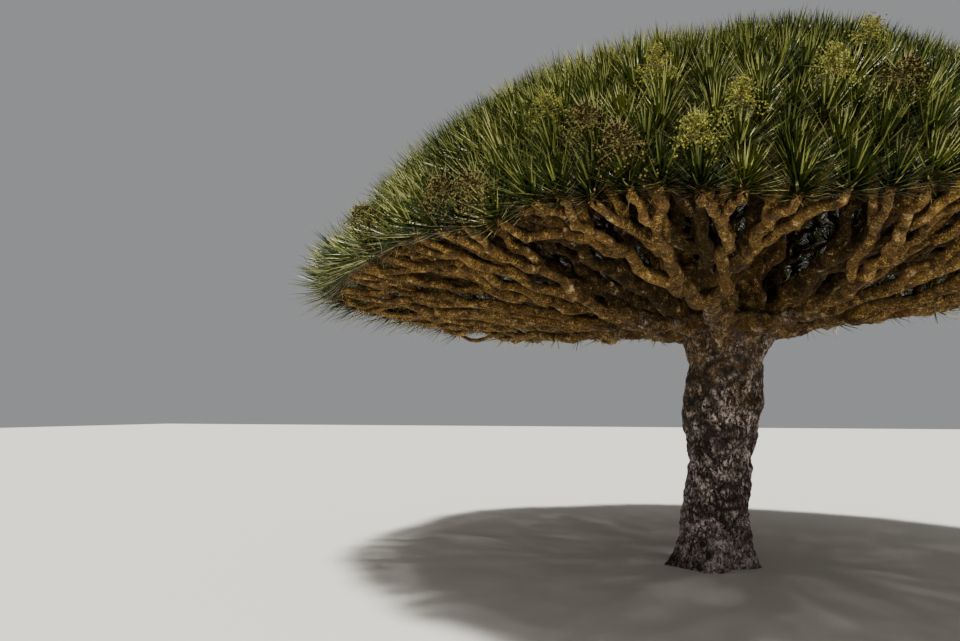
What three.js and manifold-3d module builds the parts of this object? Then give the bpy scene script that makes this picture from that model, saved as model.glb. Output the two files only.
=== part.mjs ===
// A dragon blood tree: a leaning trunk with a root flare, a head that forks into three tiers
// of boughs, and an umbrella of leaf rosettes that the boughs, limbs and twigs hold up.
// Millimetres, +Z up. The origin is on the flat cut at ground level, under the trunk.
// Seen from the front, along +Y, the trunk leans to the right, towards +X.
import * as THREE from "three";
import { mergeVertices } from "three/addons/utils/BufferGeometryUtils.js";
import Module from "manifold-3d";

// Driving sizes
const SEED = 13;
const TREE_HEIGHT = 5900; // ground to the highest leaf tips
const CROWN_RADIUS = 4320; // crown centre to the leaf tips at the rim
const CROWN_X = -100;
const CROWN_Y = 380;
const RIM_HEIGHT = 2900; // ground to the rosettes at the rim
const LEAF_LENGTH = 430;
const TIP_COUNT = 800; // rosettes on the living tree
const TIP_RADIUS = 42; // a twig that holds one rosette
const HEAD_HEIGHT = 2560; // ground to where the boughs leave the trunk

// Trunk
const TRUNK_RADIUS = 318;
const TRUNK_LEAN = 0.103; // sideways for each unit up
const FOOT_SHIFT = 35; // the foot bends this far under the trunk
const FOOT_BEND = 200; // the height over which it does
const FLARE = 125; // what the root flare adds at ground level
const FLARE_HEIGHT = 160;
const FLARE_LOBES = 5;
const BELLY = 65; // the swelling at two thirds of the trunk
const BELLY_HEIGHT = 1580;
const BELLY_SPREAD = 360;
const HEAD_SPREAD = 330; // what the head adds where the boughs leave
const HEAD_RISE = 800; // the height over which it does
const HEAD_POWER = 2.6;
const HEAD_DOME = 70; // the head's top above HEAD_HEIGHT
const TRUNK_SIDES = 18;
const TRUNK_RINGS = 13;
const DOME_RINGS = 2;
const RING_CROWDING = 0.11; // towards the foot and the head

// Crown
const DOME_POWER = 1.4; // over 1 draws the shoulders in
const RIM_REACH = 0.82; // of a leaf, outwards past its rosette at the rim
const LEAN_POINT = 700; // rosettes point away from this height under the crown
const MOUND = { x: 1650, y: -250, height: 330, spread: 1450 }; // the crown's highest swelling
const MOUND_AT_TOP = 0.8; // the part of it that the crown's top stands on
const DIP = { size: 130, turn: 2.3 }; // the rim hangs lower at the back left
const PILLOW = 0.035; // how far a foliage mass rounds off towards its edge
const RIM_WAVES = [
  { lobes: 2, size: 0.03, turn: 0.6 },
  { lobes: 3, size: 0.025, turn: -1.1 },
  { lobes: 7, size: 0.015, turn: 0.4 },
];

// Branching. A tier is a ring of boughs, each with its own patch of the crown's surface.
const TIERS = [
  { name: "rim", boughs: 9, from: 0.78, to: 1, turn: 0.2, rise: -130, out: 190, forks: false },
  { name: "shoulder", boughs: 8, from: 0.34, to: 0.78, turn: 0.62, rise: -110, out: 120, forks: false },
  { name: "top", boughs: 4, from: 0, to: 0.34, turn: 0.15, rise: -40, out: 60, forks: true },
];
const MEAN_FORK = 2.25; // limbs that one limb forks into, on average
const SHORTENING = 0.8; // each limb's length against the one before
const THICKENING = 1 / 3; // a limb's radius grows with its tips to this power
const BASE_SWELL = 1.1; // of a limb's radius, at its foot
const TIP_TAPER = 0.9; // and at its tip
const WIDE_FORK = 1.1; // how far a limb first swings out of its way
const UPTURN = 0.35; // how far it then turns up
const SAG = 0.07; // down, against its reach sideways
const WANDER = 0.08; // sideways, against its length
const FORK_SPREAD = 0.42; // from a limb's middle to where its twigs leave it, against its radius
const FORK_DEPTH = 0.45; // how far back from its end they start, against its radius
const UNEVEN = 0.1; // of how a patch is shared out
const THREE_WAY = 0.3; // share of forks with three limbs

// Solids
const TURN = Math.PI * 2;
const MERGE = 1e-3; // vertices this near are one
const GAP = 0.3; // between pieces that touch
const STEM_GAP = 0.4; // between a limb's end and the stem that carries it on
const TIPS_PER_SPRAY = 7; // one modelled rosette stands for up to this many
const STEM_LENGTH = 1.5; // of a foliage mass's stem, against its limb's radius
const BOUGH_SIDES = 7;
const BOUGH_RINGS = 3;
const LIMB_SIDES = 6;
const TWIG_SIDES = 3;
const TWIG_PINCH = 0.45; // a modelled twig's foot against its radius, to keep its fork simple
const SPRAY_LEAVES = 8;
const SPRAY_LENGTH = 540;
const SPRAY_CORE = 210; // from the rosette's middle to where its leaves part
const SPRAY_TOP = 155;
const SPRAY_FOOT = 80;
const SPRAY_SMALLEST = 0.8; // of that length, where it stands for few rosettes
const SPRAY_LENGTH_PLAY = 0.12;
const SPRAY_TILTS = [82, 44, 66, 90, 54]; // degrees from the rosette's axis
const SPRAY_TILT_PLAY = 6;
const SPRAY_NOTCH_TILT = 75;
const SPRAY_LEAST = 0.4; // shorter than this share, a leaf is left out
const SHORTER_BY = 0.06; // what each try takes off a leaf that reaches too far
const EDGE_MARGIN = 12; // between the patches of two sprays
const PANICLE_SHARE = 0.07; // of the sprays
const PANICLE_LENGTH = 430;
const PANICLE_WIDTH = 150;

const TRUNK_BARK = new THREE.MeshStandardMaterial({ color: 0x5b4636, roughness: 0.95, metalness: 0 });
const LIMB_BARK = new THREE.MeshStandardMaterial({ color: 0x8a5a2c, roughness: 0.9, metalness: 0 });
const LEAF_GREEN = new THREE.MeshStandardMaterial({ color: 0x55702a, roughness: 0.6, metalness: 0 });

const wasm = await Module();
wasm.setup();

const vector = (x, y, z) => new THREE.Vector3(x, y, z);
const mix = THREE.MathUtils.lerp;
const UP = vector(0, 0, 1);
const STEADY = vector(0.5, 0.3, -1); // no limb points this way, so its section can be set out from it

// Seeded chance: a limb's seed comes from its parent's, so that each limb is the same
// however far the branching is carried.
function scramble(seed, step) {
  let h = (seed ^ Math.imul(step + 1, 0x9e3779b1)) >>> 0;
  h = Math.imul(h ^ (h >>> 16), 0x85ebca6b) >>> 0;
  h = Math.imul(h ^ (h >>> 13), 0xc2b2ae35) >>> 0;
  return (h ^ (h >>> 16)) >>> 0;
}
const chance = (seed, step) => scramble(seed, step) / 0x100000000;
const spread = (seed, step) => 2 * chance(seed, step) - 1;

// The trunk's own lines
function trunkCentre(z) {
  return vector(FOOT_SHIFT * (1 - Math.exp(-z / FOOT_BEND)) + TRUNK_LEAN * z, 0, z);
}
function trunkRadius(z, turn) {
  const foot = Math.exp(-z / FLARE_HEIGHT);
  const lobes = 1 + 0.45 * Math.cos(FLARE_LOBES * turn + 0.8) + 0.2 * Math.cos(3 * turn - 1);
  const belly = Math.exp(-(((z - BELLY_HEIGHT) / BELLY_SPREAD) ** 2));
  const head = Math.max(0, 1 + (z - HEAD_HEIGHT) / HEAD_RISE) ** HEAD_POWER;
  const knobs = 14 * Math.sin(2 * turn + z / 260) + 10 * Math.cos(3 * turn - z / 190);
  return TRUNK_RADIUS + FLARE * foot * lobes + BELLY * belly + HEAD_SPREAD * head + knobs;
}
const HEAD = trunkCentre(HEAD_HEIGHT);

// The crown's surface, where the rosettes sit. A place on it is its share of the dome's area,
// counted from the top, and its turn round the crown.
const BASE_RADIUS = CROWN_RADIUS - RIM_REACH * LEAF_LENGTH;
const BASE_RISE = TREE_HEIGHT - LEAF_LENGTH - MOUND.height * MOUND_AT_TOP - RIM_HEIGHT;
const DOME_STEPS = 200; // of the arc from its top to its rim
const areaTo = domeAreas();

function profile(angle) {
  return [Math.sin(angle) * BASE_RADIUS, Math.cos(angle) ** DOME_POWER * BASE_RISE];
}
function domeAreas() {
  const sums = [0];
  for (let i = 1; i <= DOME_STEPS; i++) {
    const [r0, z0] = profile(((i - 1) / DOME_STEPS) * (Math.PI / 2));
    const [r1, z1] = profile((i / DOME_STEPS) * (Math.PI / 2));
    sums.push(sums[i - 1] + (r0 + r1) * Math.hypot(r1 - r0, z1 - z0));
  }
  return sums.map((sum) => sum / sums[DOME_STEPS]);
}
function angleAt(share) {
  let i = 1;
  while (i < DOME_STEPS && areaTo[i] < share) i++;
  const part = (share - areaTo[i - 1]) / (areaTo[i] - areaTo[i - 1]);
  return ((i - 1 + part) / DOME_STEPS) * (Math.PI / 2);
}
function rimWave(turn) {
  return RIM_WAVES.reduce((sum, w) => sum + w.size * Math.cos(w.lobes * turn + w.turn), 1);
}
function domePoint(share, turn) {
  const [radius, rise] = profile(angleAt(share));
  const r = radius * rimWave(turn);
  const x = CROWN_X + r * Math.cos(turn);
  const y = CROWN_Y + r * Math.sin(turn);
  const away = Math.hypot(x - MOUND.x, y - MOUND.y) / MOUND.spread;
  const dip = DIP.size * share * Math.max(0, Math.cos(turn - DIP.turn));
  return vector(x, y, RIM_HEIGHT + rise + MOUND.height * Math.exp(-away * away) - dip);
}
// Where a point lies over the dome, with a share over 1 outside the rim.
function placeOf(point) {
  const turn = Math.atan2(point.y - CROWN_Y, point.x - CROWN_X);
  const radius = Math.hypot(point.x - CROWN_X, point.y - CROWN_Y);
  const reach = radius / (BASE_RADIUS * rimWave(turn));
  if (reach >= 1) return { share: reach, turn, radius };
  const step = (Math.asin(reach) / (Math.PI / 2)) * DOME_STEPS;
  const i = Math.min(DOME_STEPS - 1, Math.floor(step));
  return { share: mix(areaTo[i], areaTo[i + 1], step - i), turn, radius };
}
function rosetteAxis(point) {
  return point.clone().sub(vector(CROWN_X, CROWN_Y, LEAN_POINT)).normalize();
}

// A patch is a stretch of shares and turns, and the number of rosettes that it holds.
function middleOf(patch) {
  return domePoint(mix(patch.from, patch.to, 0.5), mix(patch.left, patch.right, 0.5));
}
function sizeOf(patch) {
  return middleOf(patch).distanceTo(domePoint(patch.to, patch.right));
}
function holds(patch, point) {
  const { share, turn, radius } = placeOf(point);
  const sideways = EDGE_MARGIN / Math.max(radius, EDGE_MARGIN);
  const inwards = EDGE_MARGIN / BASE_RADIUS;
  if (patch.from > 0 && share < patch.from + inwards) return false;
  if (patch.to < 1 && share > patch.to - inwards) return false;
  const across = THREE.MathUtils.euclideanModulo(turn - patch.left, TURN);
  return across > sideways && across < patch.right - patch.left - sideways;
}
function sharePatch(patch, seed, parts) {
  if (parts === 1) return [patch];
  const side = mix(patch.left, patch.right, 0.5);
  const level = mix(patch.from, patch.to, 0.5);
  const high = domePoint(patch.from, side).distanceTo(domePoint(patch.to, side));
  const wide = domePoint(level, patch.left).distanceTo(domePoint(level, patch.right));
  const wanted = patch.tips * (1 / parts + UNEVEN * spread(seed, 1));
  const tips = Math.min(patch.tips - parts + 1, Math.max(1, Math.round(wanted)));
  const cut = tips / patch.tips;
  const one = { ...patch, tips };
  const rest = { ...patch, tips: patch.tips - tips };
  if (high > wide) one.to = rest.from = mix(patch.from, patch.to, cut);
  else one.right = rest.left = mix(patch.left, patch.right, cut);
  return [one, ...sharePatch(rest, scramble(seed, 2), parts - 1)];
}

// A limb grows part of the way to the middle of its patch, swinging out first and then up.
// The last one goes all the way.
function growLimb({ start, heading, patch, seed, pillow }, last) {
  const place = middleOf(patch);
  if (pillow) {
    const edge = Math.min(1, place.distanceTo(pillow.middle) / pillow.size);
    place.lerp(HEAD, PILLOW * edge * edge);
  }
  const way = place.clone().sub(start);
  const limbs = 1 + Math.log(patch.tips) / Math.log(MEAN_FORK);
  const share = last ? 1 : (1 - SHORTENING) / (1 - SHORTENING ** limbs);
  const length = way.length() * share;
  const chord = way.clone().normalize();
  const end = start.clone().addScaledVector(chord, length);
  if (!last) {
    const side = vector(spread(seed, 11), spread(seed, 12), spread(seed, 13));
    end.addScaledVector(side, WANDER * length);
    end.z -= SAG * length * Math.hypot(chord.x, chord.y) ** 2;
  }
  const aside = chord.clone().addScaledVector(heading, -chord.dot(heading));
  const out = chord.clone().addScaledVector(aside, WIDE_FORK).normalize();
  const turned = chord.clone().addScaledVector(rosetteAxis(place), last ? 1 : UPTURN).normalize();
  const reach = start.distanceTo(end) / 3;
  const path = new THREE.CubicBezierCurve3(
    start,
    start.clone().addScaledVector(out, reach),
    end.clone().addScaledVector(turned, -reach),
    end,
  );
  const across = chord.clone().cross(STEADY).normalize();
  return { path, start, end, turned, across, radius: TIP_RADIUS * patch.tips ** THICKENING };
}
function fork(grown, { patch, seed, pillow }, parts) {
  const count = parts ?? (patch.tips > 2 && chance(seed, 3) < THREE_WAY ? 3 : 2);
  return sharePatch(patch, scramble(seed, 4), count).map((part, i) => {
    const { end, turned, radius } = grown;
    const aside = middleOf(part).sub(end).projectOnPlane(turned).normalize();
    const start = end.clone().addScaledVector(aside, FORK_SPREAD * radius);
    start.addScaledVector(turned, -FORK_DEPTH * radius);
    return { start, heading: turned, patch: part, seed: scramble(seed, 20 + i), pillow };
  });
}
// The first limb of a tier starts inside the trunk's head and heads up and out.
function boughOf(tier, t, i) {
  const turnTo = (k) => ((k + tier.turn) / tier.boughs) * TURN;
  const tips = Math.round((TIP_COUNT * (tier.to - tier.from)) / tier.boughs);
  const patch = { from: tier.from, to: tier.to, left: turnTo(i), right: turnTo(i + 1), tips };
  const way = middleOf(patch).sub(HEAD).setZ(0).normalize();
  const start = HEAD.clone().addScaledVector(way, tier.out).addScaledVector(UP, tier.rise);
  return { start, heading: UP, patch, seed: scramble(scramble(SEED, t), i) };
}

// Solids and meshes. Faces that a reshaping has flattened to a line are left out.
function solidOf(geometry) {
  const bare = geometry.index ? geometry.toNonIndexed() : geometry;
  const spare = Object.keys(bare.attributes).filter((name) => name !== "position");
  spare.forEach((name) => bare.deleteAttribute(name));
  const merged = mergeVertices(bare, MERGE);
  const corners = merged.index.array;
  const triVerts = [];
  for (let i = 0; i < corners.length; i += 3) {
    const [a, b, c] = corners.subarray(i, i + 3);
    if (a !== b && b !== c && c !== a) triVerts.push(a, b, c);
  }
  const vertProperties = merged.attributes.position.array;
  const mesh = new wasm.Mesh({ numProp: 3, vertProperties, triVerts: new Uint32Array(triVerts) });
  return new wasm.Manifold(mesh);
}
function geometryOf(solid) {
  const { numProp, vertProperties, triVerts } = solid.getMesh();
  const places = [];
  for (const v of triVerts) places.push(...vertProperties.subarray(v * numProp, v * numProp + 3));
  const geometry = new THREE.BufferGeometry();
  geometry.setAttribute("position", new THREE.Float32BufferAttribute(places, 3));
  return geometry;
}
// The outer skin of the largest body: loose scraps go, and sealed hollows are filled.
function largestOf(solid) {
  const bodies = solidOf(geometryOf(solid)).decompose();
  return bodies.reduce((a, b) => (b.volume() > a.volume() ? b : a));
}
function meshOf(name, solid, material) {
  const geometry = geometryOf(solid);
  geometry.computeVertexNormals();
  const mesh = new THREE.Mesh(geometry, material);
  mesh.name = name;
  return mesh;
}
// Moves each vertex of a cylinder to place(ring, side, out). Ring 0 is at its foot, and out
// is 0 for the middles of its two ends and 1 elsewhere. A flat end whose middle is put on its
// first corner has the fewest faces.
function reshapeCylinder(sides, rings, place) {
  const geometry = new THREE.CylinderGeometry(1, 1, 1, sides, rings);
  const at = geometry.attributes.position;
  for (let i = 0; i < at.count; i++) {
    const ring = Math.round((at.getY(i) + 0.5) * rings);
    const side = Math.round((Math.atan2(at.getX(i), at.getZ(i)) / TURN + 1) * sides) % sides;
    const out = Math.hypot(at.getX(i), at.getZ(i)) > 0.5 ? 1 : 0;
    const moved = place(ring, side, out);
    at.setXYZ(i, moved.x, moved.y, moved.z);
  }
  return solidOf(geometry);
}
// A direction at so many degrees from +Z, turned about it.
function aim(turn, tilt) {
  const polar = THREE.MathUtils.degToRad(tilt);
  return vector(Math.sin(polar) * Math.cos(turn), Math.sin(polar) * Math.sin(turn), Math.cos(polar));
}
function trunkSolid(more = 0) {
  return reshapeCylinder(TRUNK_SIDES, TRUNK_RINGS + DOME_RINGS, (ring, side, out) => {
    const turn = (side / TRUNK_SIDES) * TURN;
    const part = Math.min(1, ring / TRUNK_RINGS);
    const z = HEAD_HEIGHT * (part - RING_CROWDING * Math.sin(TURN * part));
    const over = (Math.max(0, ring - TRUNK_RINGS) / (DOME_RINGS + 1)) * (Math.PI / 2);
    const isTop = ring === TRUNK_RINGS + DOME_RINGS && !out;
    const rise = isTop ? 1 : Math.sin(over);
    const place = trunkCentre(z);
    place.z += rise * (HEAD_DOME + more) - (ring === 0 ? more : 0);
    const r = out * (trunkRadius(z, turn) * Math.cos(over) + more);
    return place.add(vector(r * Math.cos(turn), r * Math.sin(turn), 0));
  });
}
// A tapering tube along a stretch of a limb's path.
function limbSolid(limb, sides, rings, { from = 0, to = 1, more = 0, base = BASE_SWELL } = {}) {
  const { path, across, radius } = limb;
  return reshapeCylinder(sides, rings, (ring, side, out) => {
    const turn = (out * side * TURN) / sides;
    const t = mix(from, to, ring / rings);
    const r = radius * mix(base, TIP_TAPER, t) + more;
    const ahead = path.getTangent(t);
    const first = across.clone().projectOnPlane(ahead).normalize();
    const second = ahead.clone().cross(first);
    const place = path.getPoint(t).addScaledVector(ahead, more * (2 * (ring / rings) - 1));
    return place.addScaledVector(first, r * Math.cos(turn)).addScaledVector(second, r * Math.sin(turn));
  });
}
// The last twig and its rosette in one: a three-sided twig that opens into a ring of leaves.
// Its rings are the twig's foot, the rosette's foot, the leaves and the top.
function spraySolid({ start, end, turned, radius }, seed, patch) {
  const steps = 2 * SPRAY_LEAVES;
  const axis = turned.clone().add(rosetteAxis(end)).normalize();
  const level = new THREE.Quaternion().setFromUnitVectors(UP, axis);
  const along = new THREE.Quaternion().setFromUnitVectors(UP, end.clone().sub(start).normalize());
  const spin = chance(seed, 32) * TURN;
  const size = mix(SPRAY_SMALLEST, 1, Math.sqrt(patch.tips / TIPS_PER_SPRAY));
  const foot = end.clone().addScaledVector(axis, -SPRAY_FOOT);
  const twigRing = (centre, width, facing) => (side, out) => {
    const corner = Math.floor((out * side * TWIG_SIDES) / steps);
    const from = aim((corner / TWIG_SIDES) * TURN, 90).multiplyScalar(width);
    return from.applyQuaternion(facing).add(centre);
  };
  const leafRing = (side) => {
    const turn = (side / steps) * TURN + spin;
    const leaf = side / 2;
    const isNotch = side % 2 === 1;
    const leafTilt = SPRAY_TILTS[leaf % SPRAY_TILTS.length] + SPRAY_TILT_PLAY * spread(seed, 40 + leaf);
    const direction = aim(turn, isNotch ? SPRAY_NOTCH_TILT : leafTilt).applyQuaternion(level);
    const length = SPRAY_LENGTH * size * (1 + SPRAY_LENGTH_PLAY * spread(seed, 60 + leaf));
    const reach = isNotch ? SPRAY_CORE : leafReach(end, direction, length, patch);
    return direction.multiplyScalar(reach).add(end);
  };
  const top = () => end.clone().addScaledVector(axis, SPRAY_TOP);
  const rings = [
    twigRing(start, radius * TWIG_PINCH, along),
    twigRing(foot, radius * TIP_TAPER, level),
    leafRing,
    top,
  ];
  return reshapeCylinder(steps, rings.length - 1, (ring, side, out) => rings[ring](side, out));
}
// A leaf is shortened until its tip is over its own patch. Too short, it is left out.
function leafReach(base, direction, length, patch) {
  for (let part = 1; part > SPRAY_LEAST; part -= SHORTER_BY) {
    if (holds(patch, direction.clone().multiplyScalar(length * part).add(base))) return length * part;
  }
  return SPRAY_CORE;
}
// A knobbly spindle of blossom or fruit, held up over its rosette.
function panicleSolid({ end, turned }) {
  const level = new THREE.Quaternion().setFromUnitVectors(UP, turned.clone().add(UP).normalize());
  const geometry = new THREE.SphereGeometry(1, 5, 3);
  geometry.rotateX(Math.PI / 2);
  geometry.scale(PANICLE_WIDTH / 2, PANICLE_WIDTH / 2, PANICLE_LENGTH / 2);
  geometry.translate(0, 0, PANICLE_LENGTH / 2);
  geometry.applyQuaternion(level);
  geometry.translate(end.x, end.y, end.z);
  return solidOf(geometry);
}

// How far along a limb its foliage mass takes over.
function stemFrom({ path, radius }) {
  return 1 - (STEM_LENGTH * radius) / path.getLength();
}
// What is left of a solid beside the pieces that it gives way to.
function beside(solid, cutters) {
  return largestOf(cutters.reduce((rest, cutter) => rest.subtract(cutter), solid));
}

// One foliage mass: a stem that carries its limb on, and the twigs and rosettes fused to it.
// A twig, rosette or panicle that would touch a limb or another mass is skipped.
function massSolid(limb, grown, stem, others) {
  const clear = (solid) => others.every((other) => solid.intersect(other).isEmpty());
  const parts = [stem];
  const pillow = { middle: middleOf(limb.patch), size: sizeOf(limb.patch) };
  const reachOn = (from) => {
    const last = from.patch.tips <= TIPS_PER_SPRAY;
    const next = growLimb(from, last);
    const solid = last
      ? spraySolid(next, from.seed, from.patch)
      : limbSolid(next, TWIG_SIDES, 1, { base: TWIG_PINCH });
    if (!clear(solid)) return;
    parts.push(solid);
    if (!last) {
      fork(next, from).forEach(reachOn);
      return;
    }
    const panicle = panicleSolid(next);
    if (chance(from.seed, 90) < PANICLE_SHARE && clear(panicle)) parts.push(panicle);
  };
  fork(grown, { ...limb, pillow }).forEach(reachOn);
  return largestOf(wasm.Manifold.union(parts));
}

// The whole tree, in the order in which its pieces give way to each other.
function makeTree() {
  const tree = new THREE.Group();
  const made = [];
  const cutters = [];
  const masses = [];
  const forked = [];
  const add = (name, solid, material) => {
    tree.add(meshOf(name, solid, material));
    made.push(solid);
  };
  const addLimb = (kind, id, limb, sides, carries) => {
    const grown = growLimb(limb, false);
    const to = carries ? stemFrom(grown) : 1;
    add(`${kind}_${id}`, beside(limbSolid(grown, sides, BOUGH_RINGS, { to }), cutters), LIMB_BARK);
    cutters.push(limbSolid(grown, sides, BOUGH_RINGS, { to, more: GAP }));
    if (carries) masses.push({ name: `foliage_${id}`, limb, grown });
    return grown;
  };
  add("trunk", trunkSolid(), TRUNK_BARK);
  cutters.push(trunkSolid(GAP));
  TIERS.forEach((tier, t) => {
    for (let i = 0; i < tier.boughs; i++) {
      const id = `${tier.name}_${i + 1}`;
      const bough = boughOf(tier, t, i);
      const grown = addLimb("bough", id, bough, BOUGH_SIDES, !tier.forks);
      if (tier.forks) fork(grown, bough, 2).forEach((limb, k) => forked.push([`${id}_${"ab"[k]}`, limb]));
    }
  });
  for (const [id, limb] of forked) addLimb("limb", id, limb, LIMB_SIDES, true);
  for (const mass of masses) {
    const from = stemFrom(mass.grown) + STEM_GAP / mass.grown.path.getLength();
    mass.stem = beside(limbSolid(mass.grown, LIMB_SIDES, 1, { from }), cutters);
    cutters.push(limbSolid(mass.grown, LIMB_SIDES, 1, { from, more: GAP }));
  }
  for (const { name, limb, grown, stem } of masses) {
    const stems = masses.map((mass) => mass.stem).filter((other) => other !== stem);
    add(name, massSolid(limb, grown, stem, [...made, ...stems]), LEAF_GREEN);
  }
  return tree;
}

const tree = makeTree();
export default tree;
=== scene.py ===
"""The looks of a dragon blood tree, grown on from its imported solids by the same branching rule.

Metres, +Z up, with the origin on the flat cut under the trunk. The trunk and boughs are one skin
with the bark's relief, the limbs above them are skins of their own, and each foliage mass is
twigs, rosettes of sword leaves, dry leaves under them, and panicles of blossom and fruit.
"""

import math
from collections import namedtuple

import bpy
import numpy as np
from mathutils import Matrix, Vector


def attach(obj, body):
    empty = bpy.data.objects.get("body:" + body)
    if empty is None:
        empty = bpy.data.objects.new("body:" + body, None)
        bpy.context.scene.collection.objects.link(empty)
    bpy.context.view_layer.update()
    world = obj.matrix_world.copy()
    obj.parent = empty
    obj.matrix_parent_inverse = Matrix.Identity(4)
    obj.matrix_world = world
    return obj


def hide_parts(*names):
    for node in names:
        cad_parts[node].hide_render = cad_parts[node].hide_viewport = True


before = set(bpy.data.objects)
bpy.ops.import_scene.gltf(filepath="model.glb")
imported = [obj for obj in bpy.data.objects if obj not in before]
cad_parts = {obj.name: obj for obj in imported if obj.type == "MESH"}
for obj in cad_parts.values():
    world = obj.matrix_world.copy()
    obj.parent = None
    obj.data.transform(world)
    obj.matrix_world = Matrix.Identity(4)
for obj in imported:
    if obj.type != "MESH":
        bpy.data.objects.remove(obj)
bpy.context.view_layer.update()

# The tree's driving sizes, as its solids have them
SEED = 13
TREE_HEIGHT = 5.9
CROWN_RADIUS = 4.32
CROWN_X = -0.1
CROWN_Y = 0.38
RIM_HEIGHT = 2.9
LEAF_LENGTH = 0.43
TIP_COUNT = 800
TIP_RADIUS = 0.042
HEAD_HEIGHT = 2.56

# Trunk
TRUNK_RADIUS = 0.318
TRUNK_LEAN = 0.103
FOOT_SHIFT = 0.035
FOOT_BEND = 0.2
FLARE = 0.125
FLARE_HEIGHT = 0.16
FLARE_LOBES = 5
BELLY = 0.065
BELLY_HEIGHT = 1.58
BELLY_SPREAD = 0.36
HEAD_SPREAD = 0.33
HEAD_RISE = 0.8
HEAD_POWER = 2.6
HEAD_DOME = 0.07

# Crown
DOME_POWER = 1.4
RIM_REACH = 0.82
LEAN_POINT = 0.7
MOUND_X = 1.65
MOUND_Y = -0.25
MOUND_HEIGHT = 0.33
MOUND_SPREAD = 1.45
MOUND_AT_TOP = 0.8
DIP_SIZE = 0.13
DIP_TURN = 2.3
PILLOW = 0.035
RIM_WAVES = ((2, 0.03, 0.6), (3, 0.025, -1.1), (7, 0.015, 0.4))  # lobes, size, turn
DOME_STEPS = 200

# Branching
Tier = namedtuple("Tier", "name boughs inner outer turn rise out forks")
TIERS = (
    Tier("rim", 9, 0.78, 1.0, 0.2, -0.13, 0.19, False),
    Tier("shoulder", 8, 0.34, 0.78, 0.62, -0.11, 0.12, False),
    Tier("top", 4, 0.0, 0.34, 0.15, -0.04, 0.06, True),
)
MEAN_FORK = 2.25
SHORTENING = 0.8
THICKENING = 1 / 3
BASE_SWELL = 1.1
TIP_TAPER = 0.9
WIDE_FORK = 1.1
UPTURN = 0.35
SAG = 0.07
WANDER = 0.08
FORK_SPREAD = 0.42
FORK_DEPTH = 0.45
UNEVEN = 0.1
THREE_WAY = 0.3
TIPS_PER_SPRAY = 7  # the rosettes of a spray are much of one tint
LIFT = 1.4  # how far rosettes turn up from their twigs
LEAN_TURN = -2.75  # the side where they stay leaning outward
LEAN_SHARE = 0.8
LEAN_POWER = 3
LAST_BEND = 1.1  # how strongly the last twigs bow up into their rosettes
RIM_FROM = 0.93  # from this share of the dome on, twigs reach further out on that side
RIM_PUSH = 0.2

TURN = 2 * math.pi
UP = Vector((0, 0, 1))
STEADY = Vector((0.5, 0.3, -1))
WORD = 0xFFFFFFFF

Patch = namedtuple("Patch", "inner outer left right tips")
Shoot = namedtuple("Shoot", "start heading patch seed pillow")
Limb = namedtuple("Limb", "bends across radius end turned tips seed")
Rosette = namedtuple("Rosette", "end axis radius seed spray")


# Seeded chance. Each draw from one seed has a step of its own.
STEP_MIX, FIRST_MIX, SECOND_MIX = 0x9E3779B1, 0x85EBCA6B, 0xC2B2AE35


def scramble(seed, step):
    h = (seed ^ ((step + 1) * STEP_MIX)) & WORD
    h = ((h ^ (h >> 16)) * FIRST_MIX) & WORD
    h = ((h ^ (h >> 13)) * SECOND_MIX) & WORD
    return h ^ (h >> 16)


def chance(seed, step):
    return scramble(seed, step) / (WORD + 1)


def spread(seed, step):
    return 2 * chance(seed, step) - 1


def mix(a, b, t):
    return a + (b - a) * t


# The trunk's own lines
def trunk_centre(z):
    return Vector((FOOT_SHIFT * (1 - math.exp(-max(z, 0) / FOOT_BEND)) + TRUNK_LEAN * z, 0, z))


def trunk_radius(z, turn):
    foot = math.exp(-max(z, 0) / FLARE_HEIGHT)
    lobes = 1 + 0.45 * math.cos(FLARE_LOBES * turn + 0.8) + 0.2 * math.cos(3 * turn - 1)
    belly = math.exp(-(((z - BELLY_HEIGHT) / BELLY_SPREAD) ** 2))
    head = max(0, 1 + (z - HEAD_HEIGHT) / HEAD_RISE) ** HEAD_POWER
    knobs = 0.014 * math.sin(2 * turn + z / 0.26) + 0.01 * math.cos(3 * turn - z / 0.19)
    return TRUNK_RADIUS + FLARE * foot * lobes + BELLY * belly + HEAD_SPREAD * head + knobs


HEAD = trunk_centre(HEAD_HEIGHT)

# The crown's surface
BASE_RADIUS = CROWN_RADIUS - RIM_REACH * LEAF_LENGTH
BASE_RISE = TREE_HEIGHT - LEAF_LENGTH - MOUND_HEIGHT * MOUND_AT_TOP - RIM_HEIGHT


def profile(angle):
    return math.sin(angle) * BASE_RADIUS, max(0, math.cos(angle)) ** DOME_POWER * BASE_RISE


def dome_areas():
    sums = [0]
    for i in range(1, DOME_STEPS + 1):
        r0, z0 = profile((i - 1) / DOME_STEPS * math.pi / 2)
        r1, z1 = profile(i / DOME_STEPS * math.pi / 2)
        sums.append(sums[-1] + (r0 + r1) * math.hypot(r1 - r0, z1 - z0))
    return [s / sums[-1] for s in sums]


AREA_TO = dome_areas()


def angle_at(share):
    i = 1
    while i < DOME_STEPS and AREA_TO[i] < share:
        i += 1
    part = (share - AREA_TO[i - 1]) / (AREA_TO[i] - AREA_TO[i - 1])
    return (i - 1 + part) / DOME_STEPS * math.pi / 2


def dome_point(share, turn):
    radius, rise = profile(angle_at(share))
    r = radius * (1 + sum(size * math.cos(lobes * turn + at) for lobes, size, at in RIM_WAVES))
    x = CROWN_X + r * math.cos(turn)
    y = CROWN_Y + r * math.sin(turn)
    away = math.hypot(x - MOUND_X, y - MOUND_Y) / MOUND_SPREAD
    dip = DIP_SIZE * share * max(0, math.cos(turn - DIP_TURN))
    return Vector((x, y, RIM_HEIGHT + rise + MOUND_HEIGHT * math.exp(-away * away) - dip))


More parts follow.
